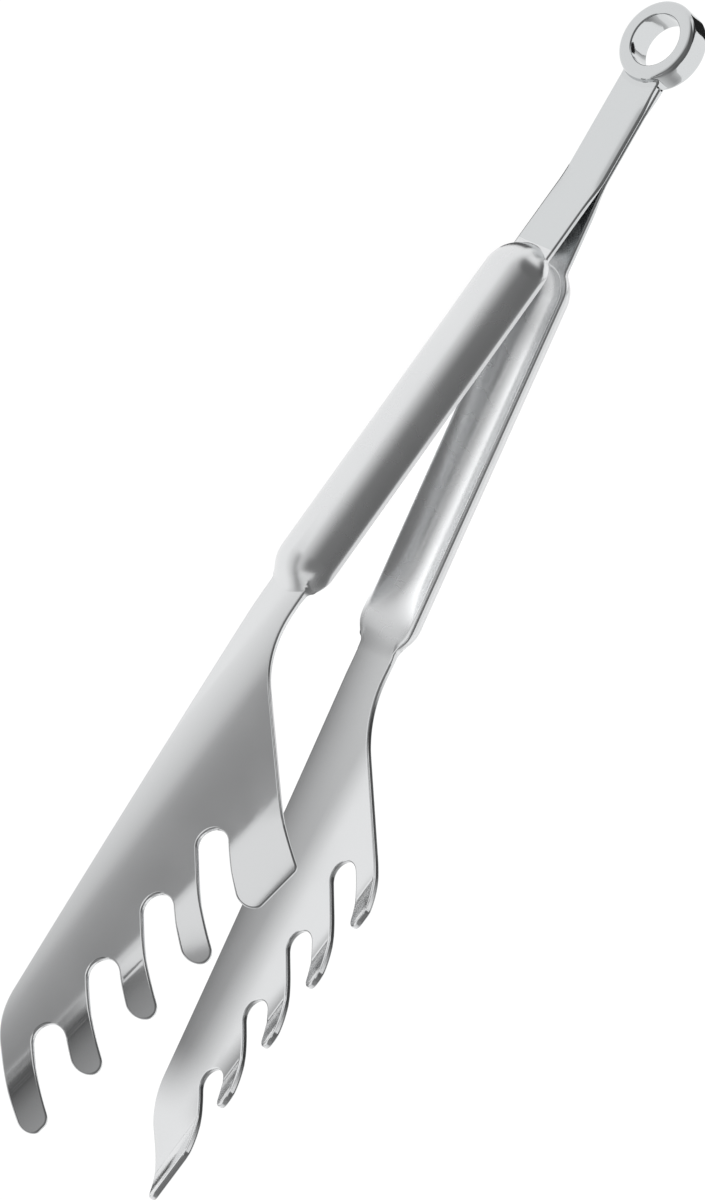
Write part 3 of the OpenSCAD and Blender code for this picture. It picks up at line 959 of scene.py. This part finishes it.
shown = add(tree, "ShaderNodeMixShader", Fac=ray.outputs["Is Glossy Ray"], i1=both.outputs["Shader"],
            i2=bright.outputs["Emission"])
add(tree, "ShaderNodeOutputMaterial", Surface=shown.outputs["Shader"])
z = FLOOR_Z - TABLE_DROP
panel("table", [(-TABLE_HALF, -TABLE_HALF, z), (TABLE_HALF, -TABLE_HALF, z), (TABLE_HALF, TABLE_HALF, z),
                (-TABLE_HALF, TABLE_HALF, z)], material)


def card(name, x0, x1, y0, y1, stops, at=(0, 0, 0), turn=(0, 0, 0), soft=0.001):
    """A card that only the metal sees, graded from its edge y0 to its edge y1, in mm from its own origin.
    It lies at a place over the table, turned by degrees. Its ends fade out over the share soft of its
    length, and without it they are sharp."""
    material, tree = new_material(name)
    spot = add(tree, "ShaderNodeTexCoord")
    across = add(tree, "ShaderNodeSeparateXYZ", Vector=spot.outputs["Generated"])
    shade = add(tree, "ShaderNodeValToRGB", Fac=across.outputs["Y"])
    grade(shade, stops)
    end = add(tree, "ShaderNodeMath", {"operation": "PINGPONG"}, i0=across.outputs["X"], i1=0.5)
    kept = add(tree, "ShaderNodeMapRange", {"interpolation_type": "SMOOTHSTEP"}, Value=end.outputs["Value"],
               i1=0.0, i2=soft, i3=0.0, i4=1.0)
    glow = add(tree, "ShaderNodeEmission", Color=shade.outputs["Color"], Strength=1.0)
    bare = add(tree, "ShaderNodeBsdfTransparent")
    faded = add(tree, "ShaderNodeMixShader", Fac=kept.outputs["Result"], i1=bare.outputs["BSDF"],
                i2=glow.outputs["Emission"])
    add(tree, "ShaderNodeOutputMaterial", Surface=faded.outputs["Shader"])
    sheet = panel(name, [(x0, y0, 0), (x1, y0, 0), (x1, y1, 0), (x0, y1, 0)], material)
    sheet.location = Vector((at[0], at[1], at[2] + FLOOR_Z)) * MM
    sheet.rotation_euler = [math.radians(a) for a in turn]
    sheet.visible_camera = False
    sheet.visible_shadow = False
    sheet.visible_diffuse = False


card("front_blade_card", 0, 205, -78, 4,
     [(0, 0.75), (0.1, 0.38), (0.21, 0.33), (0.51, 0.34), (0.61, 0.39), (0.7, 0.52), (0.78, 0.7),
      (0.84, 0.78), (0.94, 0.91), (1, 1.0)], at=(125, -36, 0), turn=(0, 0, 2.2), soft=0.1)
card("front_tips_card", 243, 400, -170, -112, [(0, 0.24), (1, 0.26)])
card("white_card", 187, 240, 0, 92, [(0, 0.95), (1, 0.95)], at=(0, -90, 14), turn=(90, 0, 0))
card("dark_card", 243, 420, 0, 190, [(0, 0.12), (0.3, 0.1), (0.55, 0.28), (1, 0.42)], at=(0, -170, 2),
     turn=(90, 0, 0))
# Painted shadow: a strip on the table along the rear blade's foot, dark at the blade and white away from
# it, seen only in the metal.
card("rear_blade_painted_shadow", 0, 138, -9, 8, [(0, 1.0), (0.3, 0.62), (0.55, 0.3), (0.75, 0.2), (1, 0.2)],
     at=(132, 7.6, 0), turn=(0, 0, 5.7), soft=0.14)
card("grip_light", 0, 92, -9, 16,
     [(0, 0.5), (0.16, 0.7), (0.32, 1.0), (0.44, 1.4), (0.6, 2.1), (0.92, 2.3), (1, 2.0)],
     at=(60, 0, 0.3), turn=(0, 0, 6), soft=0.2)
# Painted shade: a dark strip on the table under and between the grips, where they shade it, seen only in
# the metal.
card("grips_painted_shade", 0, 90, -5.5, 6.6, [(0, 0.28), (1, 0.28)], at=(60, 0, 0), turn=(0, 0, -6), soft=0.2)
card("ring_light", -48, 32, 0, 80, [(0, 1.15), (1, 1.15)], at=(0, 42, 14), turn=(90, 0, 0))
card("rear_tips_card", 185, 292, 34, 38.5, [(0, 0.05), (1, 0.05)])
# Painted shadow: a dark patch on the table under the leaves where they part, seen only in the metal.
card("leaves_painted_shadow", 33, 57, -6.2, 7.4, [(0, 0.04), (1, 0.04)])
card("ring_card", -60, -20, 0, 22, [(0, 0.02), (1, 0.02)], at=(0, 24, 0), turn=(90, 0, 0))

scene.view_settings.view_transform = "Standard"
